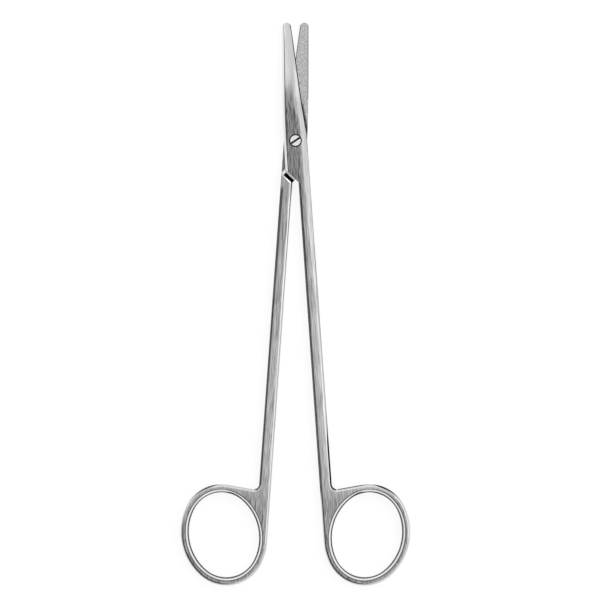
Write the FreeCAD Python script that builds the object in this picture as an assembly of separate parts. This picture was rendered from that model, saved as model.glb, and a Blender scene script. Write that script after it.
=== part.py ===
import FreeCAD, Part

import math
import os

from FreeCAD import Vector

# Dissecting scissors: long slender shanks, short blunt blades and a slotted pivot screw.
# Each half is one forging: blade, lap, shank and finger ring in a single piece of steel.
# All sizes are in millimetres. The pivot axis is Z through the origin, the blades point
# to +Y, and the back of the joint lies on Z = 0.
#
# A half is drawn in its own closed frame, for the half that lies in front: the mating
# plane is Z = 0, the blade and the lap lie above it, and the finger ring is at +X and -Y.
# The half behind is the same forging turned over about Y.

# Joint
joint_thickness = 4.0
joint_half_width = 3.7
lap_clearance = 0.02
ear_corner_y = -9.1
ear_foot_y = -13.4
ear_corner_radius = 0.6
shoulder_corner_y = -10.7
shoulder_foot_y = -14.0
lip_width = 0.35
lip_height = 0.12
side_break_width = 1.0
side_break_drop = 0.17
side_bevel_width = 0.7
side_bevel_drop = 1.07
resting_half_angle = 3.7

# Blade: its lower and upper sections lie at one and two thirds of its length
blade_root_y = 2.0
blade_reach = 37.9
blade_lower_centre = -0.32
blade_lower_half_width = 2.93
blade_lower_fall = 0.45
blade_upper_centre = -0.39
blade_upper_half_width = 2.12
blade_upper_height = 1.6
blade_upper_fall = 0.12
tip_centre = -0.47
tip_half_width = 1.28
tip_height = 0.75
tip_fall = 0.05
tip_radius = 1.38
edge_land = 0.25
edge_bevel_width = 0.28
fall_share = 0.5
crown_share = 0.02
hollow_start_y = 6.5
hollow_margin = 0.35
hollow_depth = 0.1

# Shank
shank_gap = 0.12
shank_foot_half_width = 4.5
shank_thickness = 3.2
taper_start_y = -15.0
taper_end_y = -58.0
edge_rounding = 1.15
rounding_limit = 0.45
facet_width = 1.8
facet_depth = 0.7

# Finger ring
ring_centre_x = 14.7
ring_centre_y = -127.4
ring_hole_length = 27.3
ring_hole_width = 22.3
ring_lean = 15.2
ring_band = 2.65
ring_inner_rounding = 1.15
inner_rounding_reach = 1.005
web_top_y = -112.4
web_corner_radius = 1.7

# Pivot screw
head_diameter = 3.7
head_height = 1.0
head_proud = 0.06
head_chamfer = 0.15
head_clearance = 0.2
seat_clearance = 0.02
bearing_diameter = 2.8
bearing_clearance = 0.03
thread_diameter = 2.3
end_chamfer = 0.12
slot_width = 0.5
slot_depth = 0.55
slot_angle = 33.7

half_thickness = joint_thickness / 2
mating_z = lap_clearance / 2
seat_z = half_thickness + head_proud - head_height - seat_clearance
far = 400.0
hair = 0.001


class RingOval:
    """The four-centred oval of a finger ring, grown by a margin, in the plane of the scissors."""

    def __init__(self, margin):
        lean = math.radians(ring_lean)
        long_half = ring_hole_length / 2
        short_half = ring_hole_width / 2
        end = short_half - (long_half - short_half) / 2
        side = ((long_half - end) ** 2 + short_half**2 - end**2) / (2 * (short_half - end))
        self.centre = Vector(ring_centre_x, ring_centre_y, 0)
        self.long_way = Vector(math.sin(lean), math.cos(lean), 0)
        self.short_way = Vector(-math.cos(lean), math.sin(lean), 0)
        self.end_shift = long_half - end
        self.side_shift = side - short_half
        self.end_radius = end + margin
        self.side_radius = side + margin

    def end_centre(self, way):
        """The centre of the arc at the top (1) or the foot (-1) of the oval."""
        return self.centre + self.long_way * (way * self.end_shift)

    def side_centre(self, way):
        """The centre of the arc beside the shanks (1) or away from them (-1)."""
        return self.centre - self.short_way * (way * self.side_shift)

    def join(self, end_way, side_way):
        """The point where an end arc runs into a side arc."""
        side = self.side_centre(side_way)
        return side + (self.end_centre(end_way) - side).normalize() * self.side_radius

    def arcs(self):
        """Each arc of the oval as its centre, start and end, counter-clockwise from the top."""
        joins = [self.join(1, 1), self.join(-1, 1), self.join(-1, -1), self.join(1, -1)]
        return [
            (self.side_centre(1), joins[0], joins[1]),
            (self.end_centre(-1), joins[1], joins[2]),
            (self.side_centre(-1), joins[2], joins[3]),
            (self.end_centre(1), joins[3], joins[0]),
        ]

    def arcs_between(self, start, end):
        """The arcs from a point beside the shanks, round the foot, to a point at the top."""
        stretches = self.arcs()
        stretches[0] = (self.side_centre(1), start, self.join(-1, 1))
        stretches[3] = (self.end_centre(1), self.join(1, -1), end)
        return [arc_about(*stretch) for stretch in stretches]


def line(a, b):
    """A straight edge from a to b."""
    return Part.LineSegment(a, b).toShape()


def arc(a, middle, b):
    """A round edge from a through a middle point to b."""
    return Part.Arc(a, middle, b).toShape()


def arc_about(centre, a, b):
    """The arc from a to b about a centre, less than half a turn."""
    middle = (a + b) / 2 - centre
    return arc(a, centre + middle.normalize() * (a - centre).Length, b)


def touch(start, centre, radius, side):
    """The point where a line from start touches a circle, on its left (1) or right (-1)."""
    away = start - centre
    turn = math.atan2(away.y, away.x) + side * math.acos(radius / away.Length)
    return centre + Vector(math.cos(turn), math.sin(turn), 0) * radius


def bowed(a, b):
    """An edge from a to b that bows outward, to the right of its way, by the crown."""
    across = b - a
    outward = Vector(across.z, 0, -across.x)
    return arc(a, (a + b) / 2 + outward * crown_share, b)


def prism(points, low, high):
    """A flat outline in the plane of the scissors, raised from low to high."""
    outline = Part.makePolygon([Vector(p.x, p.y, low) for p in points + points[:1]])
    return Part.Face(outline).extrude(Vector(0, 0, high - low))


def rounded_corner(before, at, after, radius):
    """The start, middle and end of the arc that rounds a corner of an outline."""
    back = (before - at).normalize()
    on = (after - at).normalize()
    half = math.acos(back.dot(on)) / 2
    setback = radius / math.tan(half)
    centre = at + (back + on).normalize() * (radius / math.sin(half))
    middle = centre + (at - centre).normalize() * radius
    return at + back * setback, middle, at + on * setback


def meeting(a, b, c, d):
    """The point where the line through a and b meets the line through c and d."""
    first = b - a
    second = d - c
    share = (c - a).cross(second).z / first.cross(second).z
    return a + first * share


def outer_edge_x(y):
    """Where the straight outer edge of the joint and shank lies."""
    share = (y - blade_root_y) / (web_top_y - blade_root_y)
    return joint_half_width + share * (shank_foot_half_width - joint_half_width)


def turned_over(shape):
    """The same shape on the other half, which is this one turned over about Y."""
    other = shape.copy()
    other.rotate(Vector(0, 0, 0), Vector(0, 1, 0), 180)
    return other


outer_top = Vector(joint_half_width, blade_root_y, 0)
ear_top = Vector(-joint_half_width, blade_root_y, 0)
ear_corner = Vector(-outer_edge_x(ear_corner_y), ear_corner_y, 0)
ear_foot = Vector(shank_gap, ear_foot_y, 0)
shoulder_corner = Vector(outer_edge_x(shoulder_corner_y), shoulder_corner_y, 0)
shoulder_foot = Vector(-shank_gap, shoulder_foot_y, 0)
web_corner = Vector(shank_foot_half_width, web_top_y, 0)


def inner_edge_start():
    """The point where the straight inner edge of the shank runs into the ring."""
    oval = RingOval(ring_band)
    return touch(ear_foot, oval.side_centre(1), oval.side_radius, 1)


def inner_edge_at(y):
    """The point of the straight inner edge of the shank at a height along the scissors."""
    level = Vector(0, y, 0)
    return meeting(ear_foot, inner_edge_start(), level, level + Vector(1, 0, 0))


def outer_edge_at(y):
    """The point of the straight outer edge of the shank at a height along the scissors."""
    return Vector(outer_edge_x(y), y, 0)


def ring_outline():
    """The slim end of the shank, the web and the finger ring in one closed line."""
    oval = RingOval(ring_band)
    ring_start = inner_edge_start()
    ring_end = touch(web_corner, oval.end_centre(1), oval.end_radius, -1)
    inner_top = inner_edge_at(taper_end_y)
    outer_end = outer_edge_at(taper_end_y)
    web_end, web_middle, shank_end = rounded_corner(
        ring_end, web_corner, outer_end, web_corner_radius
    )
    edges = [line(inner_top, ring_start)]
    edges += oval.arcs_between(ring_start, ring_end)
    edges += [
        line(ring_end, web_end),
        arc(web_end, web_middle, shank_end),
        line(shank_end, outer_end),
        line(outer_end, inner_top),
    ]
    return Part.Wire(edges)


def rounded_plate(plan, thickness):
    """A flat plan raised evenly about the mating plane, its long edges rounded."""
    blank = plan.extrude(Vector(0, 0, thickness))
    blank.translate(Vector(0, 0, -thickness / 2))
    rounding = min(edge_rounding, thickness * rounding_limit)
    return blank.makeFillet(rounding, [e for e in blank.Edges if is_rim(e)])


def is_rim(edge):
    """Whether an edge runs along the front or back of a plan, and not straight across it."""
    box = edge.BoundBox
    return box.ZLength < edge_rounding / 2 and box.YLength > hair


def end_outline(shape, y):
    """The outline of the flat end that a shape has across the shank."""
    flat = [f for f in shape.Faces if f.BoundBox.YLength < hair]
    return min(flat, key=lambda f: abs(f.BoundBox.YMin - y)).OuterWire


def ground_off(start, end, width, depth):
    """What is ground off the front along a straight edge that has the steel on its left."""
    along = (end - start).normalize()
    outward = Vector(along.y, -along.x, 0)
    slope = (outward * width - Vector(0, 0, depth)).normalize() * joint_thickness
    run_out = along * joint_half_width
    low = start - outward * width + Vector(0, 0, half_thickness) - run_out
    high = low + (end - start) + run_out * 2
    corners = [low - slope, low + slope, high + slope, high - slope]
    face = Part.Face(Part.makePolygon(corners + corners[:1]))
    return face.extrude((outward * depth + Vector(0, 0, width)).normalize() * joint_thickness)


def finger_hole():
    """What is taken out of the ring's plate, leaving its inner side well rounded."""
    half_height = shank_thickness / 2
    crest = half_height * inner_rounding_reach
    pieces = []
    for centre, start, end in RingOval(0).arcs():
        out = (start - centre).normalize()
        radius = (start - centre).Length
        up = Vector(0, 0, 1)
        wide = centre + out * (radius + ring_inner_rounding)
        rim = Part.Ellipse(wide + up * crest, centre + out * radius, wide)
        bulge = Part.Arc(rim, 0, math.pi).toShape()
        top = up * joint_thickness
        sides = Part.makePolygon(
            [wide - up * crest, wide - top, centre - top, centre + top, wide + top, wide + up * crest]
        )
        profile = Part.Face(Part.Wire(Part.__sortEdges__([bulge] + sides.Edges)))
        turn = math.degrees((start - centre).getAngle(end - centre))
        pieces.append(profile.revolve(centre, up, turn))
    return pieces[0].fuse(pieces[1:])


def handle():
    """Shank, web and finger ring, full thickness, with the long edges rounded and ground."""
    joint_corners = [
        inner_edge_at(blade_root_y),
        inner_edge_at(taper_start_y),
        outer_edge_at(taper_start_y),
        outer_top,
    ]
    joint_plan = Part.Face(Part.makePolygon(joint_corners + joint_corners[:1]))
    joint = rounded_plate(joint_plan, joint_thickness)
    ring = rounded_plate(Part.Face(ring_outline()), shank_thickness).cut(finger_hole())
    ends = [end_outline(joint, taper_start_y), end_outline(ring, taper_end_y)]
    taper = Part.makeLoft(ends, True, True)
    facet = ground_off(outer_edge_at(taper_end_y), outer_top, facet_width, facet_depth)
    back_facet = facet.mirror(Vector(0, 0, 0), Vector(0, 0, 1))
    return joint.fuse([taper, ring]).removeSplitter().cut(facet).cut(back_facet)


def lap_recess():
    """The space under the shoulder of a shank, where the lap of the other half swings."""
    along = (shoulder_corner - shoulder_foot).normalize()
    low = shoulder_foot - along * far
    high = shoulder_corner + along * far
    up = Vector(-along.y, along.x, 0) * far
    return prism([low, high, high + up, low + up], -far, mating_z)


def shoulder_lip():
    """What is ground off the shoulder's edge, on the side that the other lap swings over."""
    lip = ground_off(shoulder_corner, shoulder_foot, lip_width, lip_height)
    return lip.mirror(Vector(0, 0, 0), Vector(0, 0, 1))


def ear():
    """The part of the lap that reaches across the other half, bevelled round its front."""
    inner_top = Vector(shank_gap + edge_rounding + lip_width, blade_root_y, 0)
    inner_foot = meeting(ear_corner, ear_foot, inner_top, inner_top + Vector(0, 1, 0))
    start, middle, end = rounded_corner(ear_top, ear_corner, ear_foot, ear_corner_radius)
    edges = [
        line(inner_top, ear_top),
        line(ear_top, start),
        arc(start, middle, end),
        line(end, inner_foot),
        line(inner_foot, inner_top),
    ]
    plate = Part.Face(Part.Wire(edges)).extrude(Vector(0, 0, half_thickness - mating_z))
    plate.translate(Vector(0, 0, mating_z))
    break_depth = side_break_drop * side_break_width / (side_break_width - side_bevel_width)
    bevel_width = side_bevel_width * side_bevel_drop / (side_bevel_drop - side_break_drop)
    side_break = ground_off(ear_top, ear_corner, side_break_width, break_depth)
    side_bevel = ground_off(ear_top, ear_corner, bevel_width, side_bevel_drop)
    lip = ground_off(ear_corner, ear_foot, lip_width, lip_height)
    return plate.cut(side_break).cut(side_bevel).cut(lip)


def lap():
    """Handle and ear together, as far as the blade's root."""
    return handle().cut(lap_recess()).cut(shoulder_lip()).fuse(ear()).removeSplitter()


def blade_section(y, centre, half_width, height, fall):
    """A section of the blade: flat inside, crowned outside, its cutting edge at +X."""
    top = mating_z + height
    spine = centre - half_width
    edge = centre + half_width
    scale = height / half_thickness
    land = Vector(edge, 0, mating_z + edge_land)
    bevel_top = Vector(edge - edge_bevel_width, 0, top - fall)
    fall_start = Vector(edge - half_width * fall_share, 0, top)
    break_start = Vector(spine + side_break_width * scale, 0, top)
    break_end = Vector(spine + side_bevel_width * scale, 0, top - side_break_drop * scale)
    spine_end = Vector(spine, 0, top - side_bevel_drop * scale)
    edges = [
        line(Vector(spine, 0, mating_z), Vector(edge, 0, mating_z)),
        line(Vector(edge, 0, mating_z), land),
        line(land, bevel_top),
        bowed(bevel_top, fall_start),
        bowed(fall_start, break_start),
        line(break_start, break_end),
        line(break_end, spine_end),
        line(spine_end, Vector(spine, 0, mating_z)),
    ]
    section = Part.Wire(edges)
    section.translate(Vector(0, y, 0))
    return section


def blade(root):
    """The blade from its root outline to its rounded tip, hollow ground on the inside."""
    lower_y = blade_root_y + (blade_reach - blade_root_y) / 3
    upper_y = blade_reach - (blade_reach - blade_root_y) / 3
    lower_height = (half_thickness + blade_upper_height) / 2
    lower = blade_lower_centre, blade_lower_half_width, lower_height, blade_lower_fall
    upper = blade_upper_centre, blade_upper_half_width, blade_upper_height, blade_upper_fall
    tip = tip_centre, tip_half_width, tip_height, tip_fall
    sections = [
        root,
        blade_section(lower_y, *lower),
        blade_section(upper_y, *upper),
        blade_section(blade_reach, *tip),
    ]
    bar = Part.makeLoft(sections, True, False)
    return bar.common(tip_form()).cut(hollow())


def tip_form():
    """All that lies behind the rounded end of the blade."""
    centre_y = blade_reach - tip_radius
    foot = Vector(tip_centre, centre_y, -half_thickness)
    end = Part.makeCylinder(tip_radius, joint_thickness, foot)
    corner = Vector(-far, centre_y - far, -half_thickness)
    behind = Part.makeBox(2 * far, far, joint_thickness, corner)
    return behind.fuse(end)


def hollow():
    """The round grinding wheel's path over the inside of the blade, shallower to the tip."""
    half_width = blade_lower_half_width - hollow_margin
    radius = half_width**2 / (2 * hollow_depth)
    length = blade_reach + tip_radius - hollow_start_y
    path = Part.makeCylinder(radius, 2 * length, Vector(0, 0, 0), Vector(0, 1, 0))
    path.translate(Vector(0, 0, hollow_depth - radius + mating_z))
    path.rotate(Vector(0, 0, mating_z), Vector(1, 0, 0), -math.degrees(hollow_depth / length))
    path.translate(Vector(blade_upper_centre, hollow_start_y, 0))
    return path


def half():
    """One forging in its closed frame, before its screw hole is drilled."""
    body = lap()
    return body.fuse(blade(end_outline(body, blade_root_y))).removeSplitter()


def hole(diameter, low, high):
    """A round rod about the pivot axis, or the hole that it leaves."""
    return Part.makeCylinder(diameter / 2, high - low, Vector(0, 0, low))


def front_half():
    """The half in front, bored to turn on the screw and recessed for its head."""
    bearing = hole(bearing_diameter + 2 * bearing_clearance, -joint_thickness, joint_thickness)
    recess = hole(head_diameter + 2 * head_clearance, seat_z, joint_thickness)
    return half().cut(bearing).cut(recess)


def back_half():
    """The half behind, with the hole that the screw is tightened into."""
    thread = hole(thread_diameter, -joint_thickness, joint_thickness)
    return turned_over(half()).cut(thread)


def pivot_screw():
    """A slotted screw: head in its recess, bearing in front, threaded end flush behind."""
    head_low = seat_z + seat_clearance
    head = hole(head_diameter, head_low, head_low + head_height)
    head = head.makeChamfer(head_chamfer, [top_edge(head)])
    bearing = hole(bearing_diameter, -mating_z, head_low)
    end = hole(thread_diameter, -half_thickness, -mating_z)
    end = end.makeChamfer(end_chamfer, [bottom_edge(end)])
    slot_corner = Vector(-head_diameter, -slot_width / 2, head_low + head_height - slot_depth)
    slot = Part.makeBox(2 * head_diameter, slot_width, joint_thickness, slot_corner)
    slot.rotate(Vector(0, 0, 0), Vector(0, 0, 1), slot_angle)
    return head.fuse([bearing, end]).removeSplitter().cut(slot)


def top_edge(shape):
    """The highest edge of a rod."""
    return max(shape.Edges, key=lambda e: e.BoundBox.ZMin)


def bottom_edge(shape):
    """The lowest edge of a rod."""
    return min(shape.Edges, key=lambda e: e.BoundBox.ZMax)


def at_rest(shape, angle):
    """A shape of the closed scissors, turned about the pivot and set down on Z = 0."""
    placed = shape.copy()
    placed.rotate(Vector(0, 0, 0), Vector(0, 0, 1), angle)
    placed.translate(Vector(0, 0, half_thickness))
    return placed


def main():
    """Write one STEP file for each piece, in the resting pose."""
    nodes = {
        "front_half": at_rest(front_half(), resting_half_angle),
        "back_half": at_rest(back_half(), -resting_half_angle),
        "pivot_screw": at_rest(pivot_screw(), 0),
    }
    os.makedirs("parts", exist_ok=True)
    for name, shape in nodes.items():
        shape.exportStep(f"parts/{name}.step")


if __name__ == "__main__":
    main()
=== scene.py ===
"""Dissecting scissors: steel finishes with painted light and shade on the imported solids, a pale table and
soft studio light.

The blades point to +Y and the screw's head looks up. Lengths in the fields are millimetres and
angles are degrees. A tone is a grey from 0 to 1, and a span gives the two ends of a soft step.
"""

import logging
import math
from dataclasses import dataclass
from enum import Enum

import bpy
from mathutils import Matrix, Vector


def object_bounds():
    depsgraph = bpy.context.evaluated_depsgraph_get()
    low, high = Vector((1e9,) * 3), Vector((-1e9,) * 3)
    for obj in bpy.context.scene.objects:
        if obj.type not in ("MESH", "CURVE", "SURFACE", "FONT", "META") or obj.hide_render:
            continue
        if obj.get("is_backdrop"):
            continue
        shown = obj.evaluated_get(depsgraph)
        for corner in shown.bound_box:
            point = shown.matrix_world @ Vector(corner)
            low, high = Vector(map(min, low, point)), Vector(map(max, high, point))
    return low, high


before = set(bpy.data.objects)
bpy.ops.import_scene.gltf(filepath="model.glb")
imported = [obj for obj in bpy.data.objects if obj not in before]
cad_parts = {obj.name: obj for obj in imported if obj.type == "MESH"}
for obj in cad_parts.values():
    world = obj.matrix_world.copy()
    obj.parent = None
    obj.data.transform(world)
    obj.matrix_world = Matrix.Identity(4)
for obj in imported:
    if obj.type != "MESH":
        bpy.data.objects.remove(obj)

log = logging.getLogger("dissecting_scissors")

Socket = bpy.types.NodeSocket
Value = Socket | float
Point = tuple[float, float]
Span = tuple[float, float]

MM = 0.001

# Each half is turned this far from closed, and the laps meet on this height, give or take.
RESTING_ANGLE = 3.7
MATING_HEIGHT = 2.0
MATING_MARGIN = 0.16

# Places along the scissors that more than one part goes by.
JOINT_FOOT: Span = (-20.0, -13.0)
UPPER_SHANK: Span = (-80.0, -30.0)
RING_CORNER: Span = (-97.0, -91.0)

# The middle part of the noise, over which grinding marks go from dark to light and from dull to glossy.
MARK_TONES: Span = (0.34, 0.66)
MARK_GLOSS: Span = (0.3, 0.7)
NOISE_ROUGHNESS = 0.55


class Half(Enum):
    """The two halves, by the side of the joint that each one is on."""

    FRONT = "front_half"
    BACK = "back_half"

    @property
    def sign(self) -> float:
        """1 in front, where the outer face looks up and the shank goes right, and -1 behind."""
        return 1.0 if self is Half.FRONT else -1.0


class Board:
    """Lays out and joins the nodes of one material or of the world."""

    def __init__(self, tree: bpy.types.NodeTree) -> None:
        """Clears the node tree that it works on."""
        self.tree = tree
        self.tree.nodes.clear()

    def node(self, kind: str, **settings: object) -> bpy.types.Node:
        """Adds a node and sets its properties.

        Args:
            kind: the node's Blender type.
            settings: the node's properties by name.

        Returns:
            The new node.
        """
        node = self.tree.nodes.new(kind)
        for name, value in settings.items():
            setattr(node, name, value)
        return node

    def join(self, source: object, target: Socket) -> None:
        """Links a socket to a target, or sets the target to a plain value.

        Args:
            source: the socket, number or vector.
            target: the socket that takes it.
        """
        if isinstance(source, Socket):
            self.tree.links.new(source, target)
        else:
            target.default_value = source

    def calculate(self, operation: str, *terms: Value) -> Socket:
        """Does one step of arithmetic.

        Args:
            operation: a Math node's operation.
            terms: one to three sockets or numbers.

        Returns:
            The result.
        """
        node = self.node("ShaderNodeMath", operation=operation)
        for term, socket in zip(terms, node.inputs):
            self.join(term, socket)
        return node.outputs[0]

    def product(self, *factors: Value) -> Socket:
        """Multiplies two or more sockets or numbers.

        Args:
            factors: what is multiplied.

        Returns:
            The product.
        """
        result = factors[0]
        for factor in factors[1:]:
            result = self.calculate("MULTIPLY", result, factor)
        return result

    def remainder(self, share: Value) -> Socket:
        """Gives what a share leaves of 1."""
        return self.calculate("SUBTRACT", 1.0, share)

    def vector(self, operation: str, *terms: object) -> bpy.types.Node:
        """Does one step of vector arithmetic.

        Args:
            operation: a Vector Math node's operation.
            terms: one or two sockets or vectors.

        Returns:
            The node, whose outputs hold the result.
        """
        node = self.node("ShaderNodeVectorMath", operation=operation)
        for term, socket in zip(terms, node.inputs):
            self.join(term, socket)
        return node

    def dot(self, first: object, second: object) -> Socket:
        """Multiplies two vectors, or measures how far the first reaches along the second."""
        return self.vector("DOT_PRODUCT", first, second).outputs["Value"]

    def length_of(self, vector: Socket) -> Socket:
        """Gives the length of a vector."""
        return self.vector("LENGTH", vector).outputs["Value"]

    def scaled(self, vector: Socket, share: Value) -> Socket:
        """Multiplies a vector by a number.

        Args:
            vector: the vector.
            share: the number.

        Returns:
            The longer or shorter vector.
        """
        node = self.vector("SCALE", vector)
        self.join(share, node.inputs["Scale"])
        return node.outputs[0]

    def parts_of(self, vector: Socket) -> bpy.types.bpy_prop_collection:
        """Splits a vector.

        Args:
            vector: the vector.

        Returns:
            Its X, Y and Z.
        """
        node = self.node("ShaderNodeSeparateXYZ")
        self.join(vector, node.inputs[0])
        return node.outputs

    def vector_of(self, **parts: Value) -> Socket:
        """Makes a vector.

        Args:
            parts: its X, Y and Z, each 0 when it is left out.

        Returns:
            The vector.
        """
        node = self.node("ShaderNodeCombineXYZ")
        for name, part in parts.items():
            self.join(part, node.inputs[name])
        return node.outputs[0]

    def rise(self, value: Value, span: Span, low: float = 0.0, high: float = 1.0) -> Socket:
        """Goes smoothly from one number to another while a value passes over a span.

        Args:
            value: the socket that drives it.
            span: the last value that gives low and the first that gives high.
            low: the number before the span.
            high: the number after the span.

        Returns:
            The result.
        """
        node = self.node("ShaderNodeMapRange", interpolation_type="SMOOTHSTEP")
        for name, number in zip(("From Min", "From Max", "To Min", "To Max"), (*span, low, high)):
            node.inputs[name].default_value = number
        self.join(value, node.inputs["Value"])
        return node.outputs[0]

    def fall(self, value: Value, span: Span) -> Socket:
        """Goes smoothly from 1 to 0 while a value passes over a span."""
        return self.rise(value, span, 1.0, 0.0)

    def rise_along(self, length: Socket, span: Span, low: float = 0.0, high: float = 1.0) -> Socket:
        """Does what rise does for a length in metres, over a span in millimetres."""
        return self.rise(length, (span[0] * MM, span[1] * MM), low, high)

    def fall_along(self, length: Socket, span: Span) -> Socket:
        """Does what fall does for a length in metres, over a span in millimetres."""
        return self.rise_along(length, span, 1.0, 0.0)

    def stripe(self, length: Socket, span: Span, soft: float) -> Socket:
        """Marks where a length lies in a span.

        Args:
            length: the length in metres.
            span: where the stripe begins and ends.
            soft: how far each side reaches both ways as it fades.

        Returns:
            A socket that is 1 in the stripe.
        """
        start, end = span
        return self.product(self.rise_along(length, (start - soft, start + soft)),
                            self.fall_along(length, (end - soft, end + soft)))

    def between(self, share: Value, first: Value, second: Value) -> Socket:
        """Mixes two numbers.

        Args:
            share: 0 gives the first and 1 the second.
            first: a socket or number.
            second: a socket or number.

        Returns:
            The mixed number.
        """
        node = self.node("ShaderNodeMix", data_type="FLOAT")
        self.join(share, node.inputs[0])
        self.join(first, node.inputs[2])
        self.join(second, node.inputs[3])
        return node.outputs[0]

    def grain(self, place: Socket, size: tuple[float, float, float], lean: float = 0.0,
              detail: float = 3.0, seed: float = 0.0) -> Socket:
        """Makes noise whose grains have a given size.

        Args:
            place: the coordinates, in metres.
            size: a grain's width, length and height.
            lean: the angle that the grain's length makes with Y.
            detail: how many finer layers the noise has.
            seed: a shift that gives another pattern.

        Returns:
            A socket with numbers about 0.5.
        """
        turn = self.node("ShaderNodeMapping", vector_type="POINT")
        turn.inputs["Rotation"].default_value = (0.0, 0.0, -math.radians(lean))
        self.join(place, turn.inputs["Vector"])
        stretch = self.node("ShaderNodeMapping", vector_type="POINT")
        stretch.inputs["Scale"].default_value = tuple(1.0 / (side * MM) for side in size)
        stretch.inputs["Location"].default_value = (seed, seed, seed)
        self.join(turn.outputs[0], stretch.inputs["Vector"])
        noise = self.node("ShaderNodeTexNoise", noise_dimensions="3D")
        noise.inputs["Scale"].default_value = 1.0
        noise.inputs["Detail"].default_value = detail
        noise.inputs["Roughness"].default_value = NOISE_ROUGHNESS
        self.join(stretch.outputs[0], noise.inputs["Vector"])
        return noise.outputs[0]

    def bumped(self, relief: Socket, strength: float, depth: float) -> Socket:
        """Gives the normal of a surface with a fine relief.

        Args:
            relief: the height, from 0 to 1.
            strength: how much of the relief shows.
            depth: how deep the relief is.

        Returns:
            The normal.
        """
        bump = self.node("ShaderNodeBump")
        bump.inputs["Strength"].default_value = strength
        bump.inputs["Distance"].default_value = depth * MM
        self.join(relief, bump.inputs["Height"])
        return bump.outputs[0]

    def metal(self, tone: Socket, roughness: Socket, normal: Socket, rim_tone: Value | None = None) -> None:
        """Ends a material with a metal shader.

        Args:
            tone: the grey of the metal.
            roughness: its roughness.
            normal: its bumped normal.
            rim_tone: the grey of its glancing reflections, which are white when this is left out.
        """
        shader = self.node("ShaderNodeBsdfPrincipled")
        shader.inputs["Metallic"].default_value = 1.0
        self.join(tone, shader.inputs["Base Color"])
        self.join(roughness, shader.inputs["Roughness"])
        self.join(normal, shader.inputs["Normal"])
        if rim_tone is not None:
            self.join(rim_tone, shader.inputs["Specular Tint"])
        output = self.node("ShaderNodeOutputMaterial")
        self.join(shader.outputs[0], output.inputs["Surface"])


@dataclass(frozen=True)
class Edge:
    """A straight edge of the closed half."""

    start: Point
    end: Point


class HalfBoard(Board):
    """The board of a half's steel, with the measures that its finishes go by.

    The level measure is 1 on level steel and 0 on a wall. The outward measure is 1 on the outer
    face, which looks away from the other half, and -1 on the inner one.
    """

    INNER_FACE: Span = (-0.97, -0.9)
    EDGE_START: Span = (-0.3, 0.1)
    EDGE_OVERRUN = 0.4
    BAND_SOFTNESS = 0.06

    def __init__(self, tree: bpy.types.NodeTree, half: Half) -> None:
        """Clears the tree and lays out the measures.

        Args:
            tree: the node tree to work on.
            half: the half that the steel is for.
        """
        super().__init__(tree)
        self.half, self.sign = half, half.sign
        coordinates = self.node("ShaderNodeTexCoord")
        self.place, self.facing = coordinates.outputs["Object"], coordinates.outputs["Normal"]
        _, self.along, height = self.parts_of(self.place)
        self.facing_x, _, self.facing_up = self.parts_of(self.facing)
        self.level = self.calculate("ABSOLUTE", self.facing_up)
        self.outward = self.product(self.facing_up, self.sign)
        self.by_joint = self.rise_along(self.along, JOINT_FOOT)
        self.near_mate = self.calculate("COMPARE", height, MATING_HEIGHT * MM, MATING_MARGIN * MM)
        self.on_inner = self.product(self.near_mate, self.fall(self.outward, self.INNER_FACE))

    def at_rest(self, point: Point) -> Vector:
        """Turns a point of the closed half to where it rests.

        Args:
            point: the point on the plane of the scissors.

        Returns:
            The resting point in metres.
        """
        turn = math.radians(RESTING_ANGLE)
        x = point[0] * math.cos(turn) - point[1] * math.sin(turn)
        y = point[0] * math.sin(turn) + point[1] * math.cos(turn)
        return Vector((self.sign * x, y, 0.0)) * MM

    def run(self, way: Vector, start: Vector) -> Socket:
        """Measures how far a place lies along a direction from a point, in metres."""
        return self.calculate("SUBTRACT", self.dot(self.place, way), way.dot(start))

    def towards(self, way: Point) -> Socket:
        """Measures how far a place lies from the pivot along a direction, which is mirrored behind."""
        return self.dot(self.place, Vector((way[0] * self.sign, way[1], 0.0)))

    def across(self, lean: float) -> Socket:
        """Measures how far a place lies from the pivot across a leaning bar, away from the ear."""
        return self.towards((math.cos(math.radians(lean)), math.sin(math.radians(lean))))

    def behind(self, edge: Edge) -> tuple[Socket, Socket, Socket]:
        """Measures where a place lies beside a straight edge.

        Args:
            edge: the edge.

        Returns:
            The depth behind the edge and the way along it in metres, and 1 beside the edge.
        """
        start, end = self.at_rest(edge.start), self.at_rest(edge.end)
        way = (end - start).normalized()
        depth = self.run(Vector((-way.y, way.x, 0.0)) * self.sign, start)
        run = self.run(way, start)
        length = (end - start).length / MM
        beside = self.product(self.rise_along(run, self.EDGE_START),
                              self.fall_along(run, (length, length + self.EDGE_OVERRUN)))
        return depth, run, beside

    def band(self, edge: Edge, span: Span) -> Socket:
        """Marks the band between two depths behind a straight edge."""
        depth, _, beside = self.behind(edge)
        return self.product(beside, self.stripe(depth, span, self.BAND_SOFTNESS))


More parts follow.
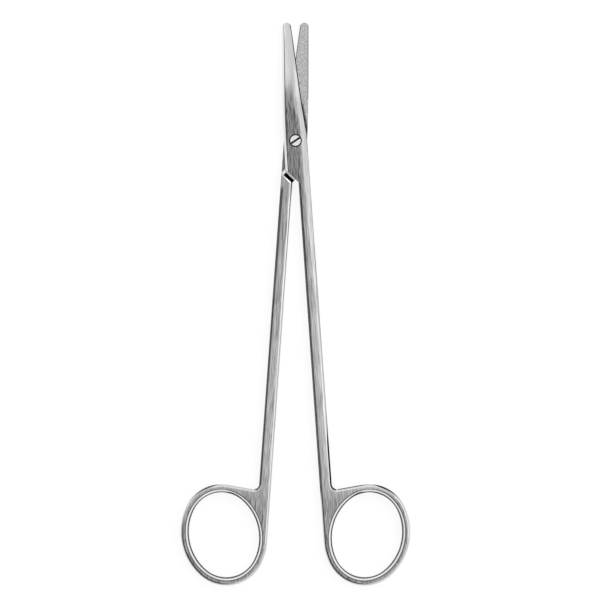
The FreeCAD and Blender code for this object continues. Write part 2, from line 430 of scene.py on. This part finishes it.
@dataclass(frozen=True)
class GroundSteel:
    """One way of grinding steel: its tone, its gloss, and its broad marks with fine ones over them."""

    tone: float
    contrast: float
    mark_width: float
    mark_length: float
    roughness: float
    seed: float
    roughness_spread: float = 0.06
    turn: float = 0.0
    broad_detail: float = 4.0
    fine_width: float = 0.25
    fine_length: float = 0.5
    fine_detail: float = 2.0
    fine_shift: float = 7.0
    fine_share: float = 0.4

    def marks(self, board: HalfBoard, lean: float) -> Socket:
        """Lays the grinding marks.

        Args:
            board: the half's board.
            lean: the lean of the bar that is ground, as it is in front.

        Returns:
            A socket with numbers about 0.5.
        """
        way = board.sign * lean + self.turn
        width, length = self.mark_width, self.mark_length
        broad = board.grain(board.place, (width, length, width), way, self.broad_detail, self.seed)
        width, length = width * self.fine_width, length * self.fine_length
        fine = board.grain(board.place, (width, length, width), way, self.fine_detail,
                           self.seed + self.fine_shift)
        return board.between(self.fine_share, broad, fine)

    def tone_of(self, board: Board, marks: Socket) -> Socket:
        """Gives the grey of the steel where its marks are light or dark."""
        return board.rise(marks, MARK_TONES, self.tone - self.contrast, self.tone + self.contrast)

    def roughness_of(self, board: Board, marks: Socket) -> Socket:
        """Gives the roughness: the dark marks are the rougher ones."""
        return board.rise(marks, MARK_GLOSS, self.roughness + self.roughness_spread,
                          self.roughness - self.roughness_spread)


@dataclass
class Coat:
    """A half's steel as it is laid on, one finish over another."""

    board: HalfBoard
    tone: Value = 0.0
    roughness: Value = 0.0
    relief: Value = 0.0
    rim_tone: Value = 1.0
    levelling: Value = 0.0
    relief_strength: float = 0.25
    relief_depth: float = 0.02

    def lay(self, finish: GroundSteel, lean: float, where: Value = 1.0, shade: Value = 0.0) -> None:
        """Lays a finish over what is there.

        Args:
            finish: the finish.
            lean: the lean of the bar that is ground.
            where: 1 where the finish is laid.
            shade: what is added to its tone.
        """
        board = self.board
        marks = finish.marks(board, lean)
        tone = board.calculate("ADD", finish.tone_of(board, marks), shade)
        self.tone = board.between(where, self.tone, tone)
        self.roughness = board.between(where, self.roughness, finish.roughness_of(board, marks))
        self.relief = board.between(where, self.relief, marks)

    def paint(self, where: Socket, tone: Value) -> None:
        """Gives the steel another tone where a socket is 1."""
        self.tone = self.board.between(where, self.tone, tone)

    def normal(self) -> Socket:
        """Joins the relief to the levelled places, which are turned straight up or down.

        Returns:
            The normal.
        """
        board = self.board
        upright = board.vector_of(Z=board.calculate("SIGN", board.facing_up))
        bumped = board.bumped(self.relief, self.relief_strength, self.relief_depth)
        turned = board.vector("ADD", board.scaled(upright, self.levelling),
                              board.scaled(bumped, board.remainder(self.levelling)))
        return board.vector("NORMALIZE", turned.outputs[0]).outputs[0]

    def close(self) -> None:
        """Joins the coat to its metal shader."""
        self.board.metal(self.tone, self.roughness, self.normal(), self.rim_tone)


@dataclass(frozen=True)
class Shank:
    """The long bar between the joint and the ring."""

    lean: float = 4.44
    finish: GroundSteel = GroundSteel(tone=0.47, contrast=0.24, mark_width=0.3, mark_length=8.0,
                                      roughness=0.30, seed=0.0)
    outer_face: Span = (0.0, 0.5)
    # Painted highlight: the outer face is lighter across the shank, away from the ear, where the light falls.
    bright_span: Span = (0.07, 2.87)
    painted_highlight: float = 0.12
    upper_fading: float = 0.07
    # Where the painted line of shade runs down the shank.
    line_across: Span = (2.6, 2.85)
    line_face: Span = (-0.3, -0.1)
    line_foot: Span = (-60.0, -45.0)
    line_top: Span = (-16.0, -14.0)

    def grind(self, coat: Coat) -> None:
        """Lays the streaked steel, which every other finish covers in its own place.

        Args:
            coat: the half's coat.
        """
        board = coat.board
        outer = board.rise(board.outward, self.outer_face)
        # Painted highlight across the outer face.
        painted_highlight = board.rise_along(board.across(self.lean), self.bright_span, 0.0, self.painted_highlight)
        fading = board.rise_along(board.along, UPPER_SHANK, 0.0, -self.upper_fading)
        coat.lay(self.finish, self.lean, shade=board.calculate("MULTIPLY_ADD", outer, painted_highlight, fading))

    def painted_shade_line(self, board: HalfBoard) -> Socket:
        """Marks the painted line of shade down the outer side of the inner face, just below the joint.

        Args:
            board: the half's board.

        Returns:
            A socket that is 1 on the line.
        """
        return board.product(board.rise_along(board.across(self.lean), self.line_across),
                             board.fall(board.outward, self.line_face),
                             board.rise_along(board.along, self.line_foot),
                             board.fall_along(board.along, self.line_top))


@dataclass(frozen=True)
class FingerRing:
    """The oval ring, with painted lines round the finger hole: shade at the rim, a highlight beyond it and
    shade beyond that.
    """

    centre: Point = (14.7, -127.4)
    lean: float = 15.2
    hole_length: float = 27.3
    hole_width: float = 22.3
    streak_lean: float = 4.44
    finish: GroundSteel = GroundSteel(tone=0.34, contrast=0.25, mark_width=0.26, mark_length=5.0,
                                      roughness=0.28, seed=41.0)
    finish_top: Span = (-117.0, -108.0)
    sides_top: Span = (-117.0, -111.0)
    outer_side: Span = (0.0, 1.5)
    inner_side: Span = (-3.0, -1.0)
    lines_top: Span = (-112.0, -111.0)
    line_softness: float = 0.08
    # Painted lines by distance from the hole: shade at the rim, a highlight, then shade again; the
    # highlight's normal is also turned up.
    rim: Span = (-0.5, 0.4)
    rim_tone: float = 0.13
    highlight_band: Span = (0.52, 0.92)
    highlight_tone: float = 0.93
    highlight_levelling: float = 0.8
    shade_band: Span = (0.98, 1.32)
    shade_band_tone: float = 0.15

    def grind(self, coat: Coat) -> None:
        """Lays the ring's darker steel."""
        coat.lay(self.finish, self.streak_lean, coat.board.fall_along(coat.board.along, self.finish_top))

    def from_hole(self, board: HalfBoard) -> Socket:
        """Measures how far a place lies from the rim of the finger hole, taken as an ellipse.

        Args:
            board: the half's board.

        Returns:
            The distance in metres, more than 0 outside the hole.
        """
        lean = math.radians(self.lean)
        centre = board.at_rest(self.centre)
        long_way = board.at_rest((math.sin(lean), math.cos(lean))).normalized()
        short_way = board.at_rest((-math.cos(lean), math.sin(lean))).normalized()
        x, y = board.run(long_way, centre), board.run(short_way, centre)
        share_x = board.calculate("DIVIDE", x, self.hole_length / 2 * MM)
        share_y = board.calculate("DIVIDE", y, self.hole_width / 2 * MM)
        radius = board.length_of(board.vector_of(X=x, Y=y))
        share = board.length_of(board.vector_of(X=share_x, Y=share_y))
        return board.calculate("SUBTRACT", radius, board.calculate("DIVIDE", radius, share))

    def mark(self, coat: Coat) -> None:
        """Draws the painted lines of shade and the painted highlight round the finger hole.

        Args:
            coat: the half's coat.
        """
        board = coat.board
        by_hole = board.fall_along(board.along, self.lines_top)
        distance = self.from_hole(board)
        on_highlight, on_shade_band, on_rim = (board.product(by_hole, board.stripe(distance, span, self.line_softness))
                                      for span in (self.highlight_band, self.shade_band, self.rim))
        # Painted highlight and painted shade.
        coat.paint(on_highlight, self.highlight_tone)
        coat.paint(on_shade_band, self.shade_band_tone)
        coat.paint(on_rim, self.rim_tone)
        coat.levelling = board.product(on_highlight, self.highlight_levelling)

    def sides(self, board: HalfBoard) -> tuple[Socket, Socket, Socket]:
        """Tells the ring's outer sides from its inner ones.

        Args:
            board: the half's board.

        Returns:
            Sockets that are 1 at the ring, on its outer sides and on its inner sides.
        """
        spoke = board.vector("SUBTRACT", board.place, board.at_rest(self.centre)).outputs[0]
        looks_out = board.dot(spoke, board.facing)
        by_ring = board.fall_along(board.along, self.sides_top)
        outside = board.product(board.rise_along(looks_out, self.outer_side), by_ring)
        inside = board.product(board.fall_along(looks_out, self.inner_side), by_ring)
        return by_ring, outside, inside


@dataclass(frozen=True)
class Blade:
    """The blade: bright outside, with a painted highlight at the tip and painted shade towards the cutting
    edge, and matt inside, with a painted dark outline of shade.
    """

    lean: float = 3.7
    finish: GroundSteel = GroundSteel(tone=0.76, contrast=0.05, mark_width=0.5, mark_length=6.0,
                                      roughness=0.24, seed=3.0)
    finish_foot: Span = (8.5, 15.5)
    inner: GroundSteel = GroundSteel(tone=0.53, contrast=0.22, mark_width=0.4, mark_length=0.5,
                                     roughness=0.45, seed=17.0)
    # Painted shade: the outer face darkens across towards the cutting edge.
    cutting_side_shade_span: Span = (-2.0, 1.2)
    fading: float = 0.13
    # Painted highlight: the tip is lighter on its spine's side.
    tip_foot: Span = (32.0, 35.0)
    tip_highlight_span: Span = (-1.6, -0.6)
    tip_highlight: float = 0.22
    spine: Edge = Edge((-1.75, 37.9), (-3.25, 13.97))
    cutting_edge: Edge = Edge((2.61, 13.97), (0.81, 37.9))
    # Painted shade along the inner face's edges.
    outline: Span = (-0.5, 0.3)
    edge_shade_tone: float = 0.27

    def grind(self, coat: Coat) -> None:
        """Lays the blade's outer steel, with its painted shade and tip highlight, and its inner steel.

        Args:
            coat: the half's coat.
        """
        board = coat.board
        across = board.across(self.lean)
        # Painted highlight at the tip and painted shade towards the cutting edge.
        painted_tip_highlight = board.rise_along(across, self.tip_highlight_span, self.tip_highlight, 0.0)
        fading = board.rise_along(across, self.cutting_side_shade_span, 0.0, -self.fading)
        shade = board.calculate("MULTIPLY_ADD", board.rise_along(board.along, self.tip_foot), painted_tip_highlight, fading)
        coat.lay(self.finish, self.lean, board.rise_along(board.along, self.finish_foot), shade)
        coat.lay(self.inner, self.lean, board.on_inner)

    def mark(self, coat: Coat) -> None:
        """Draws the painted dark outline of shade along the inner face's spine and cutting edge.

        Args:
            coat: the half's coat.
        """
        board = coat.board
        for edge in (self.spine, self.cutting_edge):
            coat.paint(board.product(board.on_inner, board.band(edge, self.outline)), self.edge_shade_tone)


@dataclass(frozen=True)
class LapJoint:
    """The joint: a dark facet outside, painted shade on the lap inside, and an ear and a notch with painted
    highlights on their lips.
    """

    lean: float = 3.7
    facet: GroundSteel = GroundSteel(tone=0.235, contrast=0.25, mark_width=0.19, mark_length=4.5,
                                     roughness=0.42, seed=11.0)
    facet_face: Span = (0.975, 0.995)
    facet_foot: Span = (-34.0, -14.0)
    facet_top: Span = (7.5, 17.5)
    streak_size: tuple[float, float, float] = (0.7, 12.0, 0.7)
    streak_detail: float = 2.0
    streak_seed: float = 31.0
    streak_reach: float = 9.0
    # Painted highlight across the facet and at its border above the screw.
    bright_span: Span = (0.6, 2.7)
    painted_highlight: float = 0.3
    border_way: Point = (0.995, 0.1)
    border_span: Span = (0.48, 1.18)
    border_foot: Span = (6.0, 10.0)
    border_highlight: float = 0.3
    # Painted shade: the lap is near black where the other half lies over it, with grinding marks, and lighter
    # towards its foot.
    lap: GroundSteel = GroundSteel(tone=0.08, contrast=0.06, mark_width=0.6, mark_length=1.2,
                                   roughness=0.5, seed=47.0, turn=35.0)
    lap_foot: Span = (-11.0, -10.5)
    lap_top: Span = (10.5, 14.5)
    lap_slant: Point = (-0.98, 0.2035)
    lap_side: Span = (4.45, 5.05)
    bright_foot: Span = (-3.0, 3.0)
    foot_brightening: float = 0.13
    ear: Edge = Edge((-3.77, -9.1), (0.12, -13.4))
    ear_side: Span = (0.7, 0.8)
    ear_slope: Span = (0.46, 0.53)
    # Painted highlight on the ear's bevel.
    ear_bevel_highlight_tone: float = 0.8
    ear_lip: Span = (-0.5, 0.15)
    ear_lip_face: Span = (0.85, 0.9)
    shoulder: Edge = Edge((3.79, -10.7), (-0.12, -14.0))
    shoulder_lip: Span = (0.0, 0.4)
    shoulder_lip_face: Span = (-0.9, -0.85)
    # Painted highlight on the lips and the notch's borders.
    lip_highlight_tone: float = 0.95
    notch: Span = (-1.2, 0.1)
    notch_rim: Span = (-1.8, -1.2)
    notch_margin: Span = (0.75, 0.87)
    # Painted shade: black in the notch and at the wall of the screw's seat.
    notch_tone: float = 0.002
    seat_wall: Span = (2.04, 2.08)

    def grind(self, coat: Coat) -> None:
        """Lays the facet and the lap's painted shade.

        Args:
            coat: the half's coat.
        """
        board = coat.board
        coat.lay(self.facet, self.lean, self.on_facet(board), self.facet_shade(board))
        # The lap's painted shade is lighter towards its foot.
        shade = board.rise_along(board.along, self.bright_foot, self.foot_brightening, 0.0)
        coat.lay(self.lap, self.lean, self.on_shaded_lap(board), shade)

    def on_facet(self, board: HalfBoard) -> Socket:
        """Marks the flat facet of the outer face, which ends in streaks towards the tip.

        Args:
            board: the half's board.

        Returns:
            A socket that is 1 on the facet.
        """
        streaks = board.grain(board.place, self.streak_size, board.sign * self.lean, self.streak_detail,
                              self.streak_seed)
        height = board.calculate("MULTIPLY_ADD", streaks, -self.streak_reach * MM, board.along)
        return board.product(board.fall_along(height, self.facet_top),
                             board.rise_along(board.along, self.facet_foot),
                             board.rise(board.outward, self.facet_face))

    def facet_shade(self, board: HalfBoard) -> Socket:
        """Brightens the facet with a painted highlight across its width, and more at its border above the
        screw.

        Args:
            board: the half's board.

        Returns:
            What is added to the facet's tone.
        """
        by_border = board.rise_along(board.towards(self.border_way), self.border_span, 0.0,
                                     self.border_highlight)
        across = board.rise_along(board.across(self.lean), self.bright_span, 0.0, self.painted_highlight)
        return board.calculate("MULTIPLY_ADD", board.rise_along(board.along, self.border_foot), by_border,
                               across)

    def on_shaded_lap(self, board: HalfBoard) -> Socket:
        """Marks the part of the inner face that the other half rubs on, where the shade is painted.

        Args:
            board: the half's board.

        Returns:
            A socket that is 1 on the lap.
        """
        return board.product(board.rise_along(board.along, self.lap_foot),
                             board.fall_along(board.along, self.lap_top), board.on_inner,
                             board.fall_along(board.towards(self.lap_slant), self.lap_side))

    def mark(self, coat: Coat) -> None:
        """Paints the highlights on the ear's bevel and the lips, and paints shade in the notch and on the
        wall of the screw's seat.

        Args:
            coat: the half's coat.
        """
        board = coat.board
        # Painted highlights: the ear's bevel and the lips.
        looks_to_ear = board.rise(board.product(board.facing_x, -board.sign), self.ear_side)
        coat.paint(board.product(looks_to_ear, board.by_joint, board.rise(board.outward, self.ear_slope)),
                   self.ear_bevel_highlight_tone)
        on_ear_lip = board.product(board.rise(board.outward, self.ear_lip_face),
                                   board.band(self.ear, self.ear_lip))
        on_shoulder_lip = board.product(board.fall(board.outward, self.shoulder_lip_face),
                                        board.band(self.shoulder, self.shoulder_lip))
        coat.paint(board.calculate("MAXIMUM", on_ear_lip, on_shoulder_lip), self.lip_highlight_tone)
        self.mark_notch(coat)
        # Painted shade: a black ring at the wall of the screw's seat.
        level_place = board.vector("MULTIPLY", board.place, Vector((1.0, 1.0, 0.0))).outputs[0]
        coat.paint(board.fall_along(board.length_of(level_place), self.seat_wall), self.notch_tone)

    def mark_notch(self, coat: Coat) -> None:
        """Draws the notch that the other half's ear leaves open: black painted shade, with painted highlights
        on its borders.

        Args:
            coat: the half's coat.
        """
        board = coat.board
        coat.paint(board.product(board.near_mate, board.band(self.shoulder, self.notch_rim)), self.lip_highlight_tone)
        in_notch = board.product(board.near_mate, board.band(self.shoulder, self.notch))
        _, run, _ = board.behind(self.shoulder)
        past_margin = board.rise_along(run, self.notch_margin)
        coat.paint(board.product(in_notch, board.remainder(past_margin)), self.lip_highlight_tone)
        coat.paint(board.product(in_notch, past_margin), self.notch_tone)


@dataclass(frozen=True)
class Sides:
    """The slopes, steep sides and walls that run all round a half, with painted shade on steep sides and a
    painted highlight on the back half's walls below the joint.
    """

    shank_lean: float = 4.44
    blade_lean: float = 3.7
    slope: GroundSteel = GroundSteel(tone=0.64, contrast=0.05, mark_width=0.5, mark_length=12.0,
                                     roughness=0.15, seed=23.0, roughness_spread=0.03)
    slope_level: Span = (0.86, 0.985)
    front_slope_fading: float = 0.22
    back_slope_fading: float = -0.08
    bevel: GroundSteel = GroundSteel(tone=0.39, contrast=0.11, mark_width=0.7, mark_length=14.0,
                                     roughness=0.17, seed=29.0, roughness_spread=0.03)
    left_side: Span = (-0.2, 0.0)
    outer_side: Span = (0.0, 0.2)
    outer_foot: Span = (-98.0, -82.0)
    outer_share: float = 0.45
    ring_inside_share: float = 0.45
    front_widening: float = 0.2
    back_widening: float = 0.34
    corner_widening: float = 0.16
    # Painted shade on the steep sides, darkest at the cutting edge and the ring's corner.
    steep_level: Span = (0.46, 0.53)
    steep_shade_tone: float = 0.13
    blade_foot: Span = (0.0, 6.0)
    cutting_edge_shade_tone: float = 0.02
    corner_foot: Span = (-115.0, -112.0)
    corner_shade_tone: float = 0.02
    # No glancing reflections where the shade is painted.
    rim_tone: float = 0.0
    near_wall_level: Span = (0.3, 0.48)
    wall_level: Span = (0.03, 0.12)
    wall_tone: float = 0.42
    # Painted highlight on the back half's walls below the joint.
    upper_wall_highlight_tone: float = 0.9

    def grind(self, coat: Coat) -> None:
        """Lays the bright slopes, and the greyer bevels at the joint and blade.

        Args:
            coat: the half's coat.
        """
        board = coat.board
        on_slope = board.fall(board.level, self.slope_level)
        fading = self.front_slope_fading if board.half is Half.FRONT else self.back_slope_fading
        shade = board.rise_along(board.along, UPPER_SHANK, 0.0, -fading)
        coat.lay(self.slope, self.shank_lean, on_slope, shade)
        coat.lay(self.bevel, self.blade_lean, board.product(on_slope, board.by_joint))

    def dark_sides(self, board: HalfBoard, ring: FingerRing) -> Socket:
        """Marks the steep sides that get painted shade: left ones, the ring's inside and the cutting edge.

        Args:
            board: the half's board.
            ring: the half's ring.

        Returns:
            A socket that is 1 on those sides.
        """
        left = board.fall(board.facing_x, self.left_side)
        outer = board.rise(board.product(board.facing_x, board.sign), self.outer_side)
        near_ring = board.rise_along(board.along, self.outer_foot, 1.0, self.outer_share)
        by_ring, ring_outside, ring_inside = ring.sides(board)
        dark = board.calculate("MAXIMUM", left, board.product(outer, near_ring))
        dark = board.calculate("MAXIMUM", board.product(dark, board.remainder(ring_outside)), ring_inside)
        widening = self.front_widening if board.half is Half.FRONT else self.back_widening
        ring_share = board.between(ring_inside, 1.0, self.ring_inside_share)
        wider = board.product(dark, ring_share, board.remainder(board.by_joint), widening)
        if board.half is Half.FRONT:
            corner = board.product(outer, board.fall_along(board.along, RING_CORNER),
                                   board.remainder(by_ring))
            wider = board.calculate("MULTIPLY_ADD", corner, self.corner_widening, wider)
        steep = board.fall(board.calculate("SUBTRACT", board.level, wider), self.steep_level)
        return board.product(steep, board.calculate("MAXIMUM", dark, board.by_joint))

    def dark_tone(self, board: HalfBoard) -> Socket:
        """Gives the tone of the painted shade on the steep sides, which is lighter where they turn into
        walls.

        Args:
            board: the half's board.

        Returns:
            The tone.
        """
        tone = board.rise_along(board.along, self.blade_foot, self.steep_shade_tone, self.cutting_edge_shade_tone)
        if board.half is Half.FRONT:
            in_corner = board.product(board.rise(board.facing_x, self.outer_side),
                                      board.fall_along(board.along, RING_CORNER),
                                      board.rise_along(board.along, self.corner_foot))
            tone = board.between(in_corner, tone, self.corner_shade_tone)
        return board.between(board.rise(board.level, self.near_wall_level), self.wall_tone, tone)

    def mark(self, coat: Coat, shank: Shank, ring: FingerRing) -> None:
        """Paints shade on the steep sides and greys the walls.

        Args:
            coat: the half's coat.
            shank: the half's shank.
            ring: the half's ring.
        """
        board = coat.board
        dark = board.calculate("MAXIMUM", self.dark_sides(board, ring), shank.painted_shade_line(board))
        coat.paint(dark, self.dark_tone(board))
        # Where the shade is painted, the glancing reflections are taken away too.
        coat.rim_tone = board.between(dark, 1.0, self.rim_tone)
        wall_tone = self.wall_tone
        # Behind, the walls below the joint get a painted highlight.
        if board.half is Half.BACK:
            upper = board.rise_along(board.along, UPPER_SHANK, self.wall_tone, self.upper_wall_highlight_tone)
            wall_tone = board.between(board.by_joint, upper, self.wall_tone)
        coat.paint(board.fall(board.level, self.wall_level), wall_tone)


def clad(piece: bpy.types.Object, steel: bpy.types.Material) -> bpy.types.Object:
    """Puts a steel on a solid in place of what it had.

    Args:
        piece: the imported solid.
        steel: the steel.

    Returns:
        The dressed piece.
    """
    piece.data.materials.clear()
    piece.data.materials.append(steel)
    return piece


@dataclass(frozen=True)
class ScissorHalf:
    """A half forged and ground from one bar: blade, joint, shank and ring."""

    half: Half
    blade: Blade = Blade()
    joint: LapJoint = LapJoint()
    shank: Shank = Shank()
    ring: FingerRing = FingerRing()
    sides: Sides = Sides()

    def steel(self) -> bpy.types.Material:
        """Makes the half's steel, first each part's finish and then the lines over them.

        Returns:
            The material.
        """
        material = bpy.data.materials.new(f"{self.half.value}_steel")
        material.use_nodes = True
        coat = Coat(HalfBoard(material.node_tree, self.half))
        for part in (self.shank, self.ring, self.blade, self.joint, self.sides):
            part.grind(coat)
        self.ring.mark(coat)
        self.blade.mark(coat)
        self.sides.mark(coat, self.shank, self.ring)
        self.joint.mark(coat)
        coat.close()
        return material

    def dress(self, nodes: dict[str, bpy.types.Object]) -> bpy.types.Object:
        """Puts the steel on the half's solid, which it finds by name, and gives the dressed half."""
        return clad(nodes[self.half.value], self.steel())


@dataclass(frozen=True)
class PivotScrew:
    """The bright slotted screw of the joint."""

    node: str = "pivot_screw"
    tones: tuple[float, float] = (0.74, 0.96)
    roughnesses: tuple[float, float] = (0.36, 0.24)
    ring_size: tuple[float, float, float] = (0.16, 1.0, 1.0)
    ring_detail: float = 2.0
    speck_size: tuple[float, float, float] = (0.35, 0.35, 0.35)
    speck_seed: float = 5.0
    speck_share: float = 0.5
    relief_strength: float = 0.3
    relief_depth: float = 0.01
    slot_angle: float = 33.7
    # Painted shade in the slot, along its mouth and on the chamfer.
    slot_floor: Span = (3.65, 3.75)
    slot_side: Span = (0.30, 0.36)
    slot_shade_tone: float = 0.02
    chamfer: Span = (1.63, 1.68)
    chamfer_shade_tone: float = 0.1

    def steel(self) -> bpy.types.Material:
        """Makes the turned steel, with rings about the axis, and painted shade in the slot and round the
        chamfer.

        Returns:
            The material.
        """
        material = bpy.data.materials.new("turned_screw_steel")
        material.use_nodes = True
        board = Board(material.node_tree)
        place = board.node("ShaderNodeTexCoord").outputs["Object"]
        x, y, height = board.parts_of(place)
        radius = board.length_of(board.vector_of(X=x, Y=y))
        rings = board.grain(board.vector_of(X=radius), self.ring_size, detail=self.ring_detail)
        specks = board.grain(place, self.speck_size, seed=self.speck_seed)
        marks = board.between(self.speck_share, rings, specks)
        turn = math.radians(self.slot_angle)
        across_slot = Vector((-math.sin(turn), math.cos(turn), 0.0))
        from_slot = board.calculate("ABSOLUTE", board.dot(place, across_slot))
        # Painted shade: black in the slot and along its mouth, and a dark ring on the chamfer.
        in_slot = board.calculate("MAXIMUM", board.fall_along(height, self.slot_floor),
                                  board.fall_along(from_slot, self.slot_side))
        tone = board.between(in_slot, board.rise(marks, MARK_TONES, *self.tones), self.slot_shade_tone)
        tone = board.between(board.rise_along(radius, self.chamfer), tone, self.chamfer_shade_tone)
        board.metal(tone, board.rise(marks, MARK_GLOSS, *self.roughnesses),
                    board.bumped(rings, self.relief_strength, self.relief_depth))
        return material

    def dress(self, nodes: dict[str, bpy.types.Object]) -> bpy.types.Object:
        """Puts the steel on the screw's solid, which it finds by name, and gives the dressed screw."""
        return clad(nodes[self.node], self.steel())


@dataclass(frozen=True)
class Softbox:
    """A rectangular soft lamp that looks at the scissors."""

    name: str
    azimuth: float
    elevation: float
    distance: float
    width: float
    depth: float
    radiance: float

    def hang(self, target: Vector) -> bpy.types.Object:
        """Hangs the lamp.

        Args:
            target: the point it looks at.

        Returns:
            The lamp.
        """
        lamp = bpy.data.lights.new(self.name, "AREA")
        lamp.shape = "RECTANGLE"
        lamp.size, lamp.size_y = self.width * MM, self.depth * MM
        lamp.energy = self.radiance * math.pi * (self.width * MM) * (self.depth * MM)
        holder = bpy.data.objects.new(self.name, lamp)
        azimuth, elevation = math.radians(self.azimuth), math.radians(self.elevation)
        way = Vector((math.cos(azimuth) * math.cos(elevation), math.sin(azimuth) * math.cos(elevation),
                      math.sin(elevation)))
        holder.location = target + way * (self.distance * MM)
        holder.rotation_mode = "QUATERNION"
        holder.rotation_quaternion = (-way).to_track_quat("-Z", "Y")
        bpy.context.scene.collection.objects.link(holder)
        return holder


@dataclass(frozen=True)
class Studio:
    """The pale table, the soft lamps and the room's light."""

    table_side: float = 8000.0
    table_drop: float = 0.02
    table_tone: float = 0.8
    table_glow: float = 0.84
    table_share: float = 0.22
    room_tone: float = 0.9
    dim_tone: float = 0.02
    dim_way: tuple[float, float, float] = (-0.75, -0.66, 0.0)
    dim_span: Span = (0.35, 0.75)
    horizon: Span = (0.05, 0.1)
    softboxes: tuple[Softbox, ...] = (
        Softbox("right_softbox", azimuth=15.0, elevation=42.0, distance=1500.0, width=1300.0, depth=1100.0,
                radiance=0.6),
        Softbox("far_softbox", azimuth=85.0, elevation=40.0, distance=1500.0, width=1200.0, depth=900.0,
                radiance=0.42),
    )

    def table(self) -> bpy.types.Object:
        """Lays the table that the scissors rest on.

        Returns:
            The table.
        """
        mesh = bpy.data.meshes.new("table")
        side, drop = self.table_side / 2 * MM, -self.table_drop * MM
        mesh.from_pydata([(-side, -side, drop), (side, -side, drop), (side, side, drop), (-side, side, drop)],
                         [], [(0, 1, 2, 3)])
        table = bpy.data.objects.new("table", mesh)
        bpy.context.scene.collection.objects.link(table)
        mesh.materials.append(self.table_paper())
        table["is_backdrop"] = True
        return table

    def table_paper(self) -> bpy.types.Material:
        """Makes white paper that still takes a shadow.

        Returns:
            The material.
        """
        material = bpy.data.materials.new("table_paper")
        material.use_nodes = True
        board = Board(material.node_tree)
        ray = board.node("ShaderNodeLightPath").outputs
        seen = board.calculate("MAXIMUM", ray["Is Camera Ray"], ray["Is Glossy Ray"])
        seen = board.calculate("MAXIMUM", seen, ray["Is Transmission Ray"])
        paper = board.node("ShaderNodeBsdfDiffuse")
        paper.inputs["Color"].default_value = (self.table_share,) * 3 + (1.0,)
        glow = board.node("ShaderNodeEmission")
        glow.inputs["Strength"].default_value = self.table_glow
        lit = board.node("ShaderNodeAddShader")
        board.join(paper.outputs[0], lit.inputs[0])
        board.join(glow.outputs[0], lit.inputs[1])
        plain = board.node("ShaderNodeBsdfDiffuse")
        plain.inputs["Color"].default_value = (self.table_tone,) * 3 + (1.0,)
        mixed = board.node("ShaderNodeMixShader")
        board.join(seen, mixed.inputs[0])
        board.join(plain.outputs[0], mixed.inputs[1])
        board.join(lit.outputs[0], mixed.inputs[2])
        output = board.node("ShaderNodeOutputMaterial")
        board.join(mixed.outputs[0], output.inputs["Surface"])
        return material

    def room(self) -> bpy.types.World:
        """Makes the room, pale all round but for one dim side.

        Returns:
            The world.
        """
        world = bpy.data.worlds.new("studio_room")
        bpy.context.scene.world = world
        world.use_nodes = True
        board = Board(world.node_tree)
        way = board.node("ShaderNodeTexCoord").outputs["Generated"]
        dim = board.product(board.rise(board.dot(way, Vector(self.dim_way)), self.dim_span),
                            board.rise(board.parts_of(way)["Z"], self.horizon))
        background = board.node("ShaderNodeBackground")
        board.join(board.between(dim, self.room_tone, self.dim_tone), background.inputs["Color"])
        output = board.node("ShaderNodeOutputWorld")
        board.join(background.outputs[0], output.inputs["Surface"])
        return world

    def light(self, target: Vector) -> None:
        """Makes the room and hangs the lamps.

        Args:
            target: the point that every lamp looks at.
        """
        self.room()
        for softbox in self.softboxes:
            softbox.hang(target)


@dataclass(frozen=True)
class CopyCamera:
    """A long-lens camera straight above the scissors."""

    aim: Point = (1.45, -51.0)
    field_width: float = 192.0
    subject_height: float = 3.0
    distance: float = 1600.0
    sensor: float = 36.0
    nearest: float = 50.0
    farthest: float = 20000.0

    def set_up(self) -> bpy.types.Object:
        """Hangs the camera and makes it the scene's.

        Returns:
            The camera.
        """
        data = bpy.data.cameras.new("copy_camera")
        data.sensor_width = self.sensor
        data.lens = self.sensor * self.distance / self.field_width
        data.clip_start, data.clip_end = self.nearest * MM, self.farthest * MM
        camera = bpy.data.objects.new("copy_camera", data)
        x, y = self.aim
        camera.location = (x * MM, y * MM, (self.distance + self.subject_height) * MM)
        bpy.context.scene.collection.objects.link(camera)
        bpy.context.scene.camera = camera
        return camera


def main() -> None:
    """Dresses the scissors, lights them and sets up the camera."""
    logging.basicConfig(level=logging.INFO, format="%(message)s")
    cad_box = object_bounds()
    for part in (ScissorHalf(Half.FRONT), ScissorHalf(Half.BACK), PivotScrew()):
        piece = part.dress(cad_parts)
        log.info("dressed %s: %d faces", piece.name, len(piece.data.polygons))
    studio = Studio()
    log.info("laid %s", studio.table().name)
    low, high = cad_box
    studio.light((low + high) / 2)
    log.info("set up %s", CopyCamera().set_up().name)
    bpy.context.scene.view_settings.view_transform = "Standard"


if __name__ == "__main__":
    main()
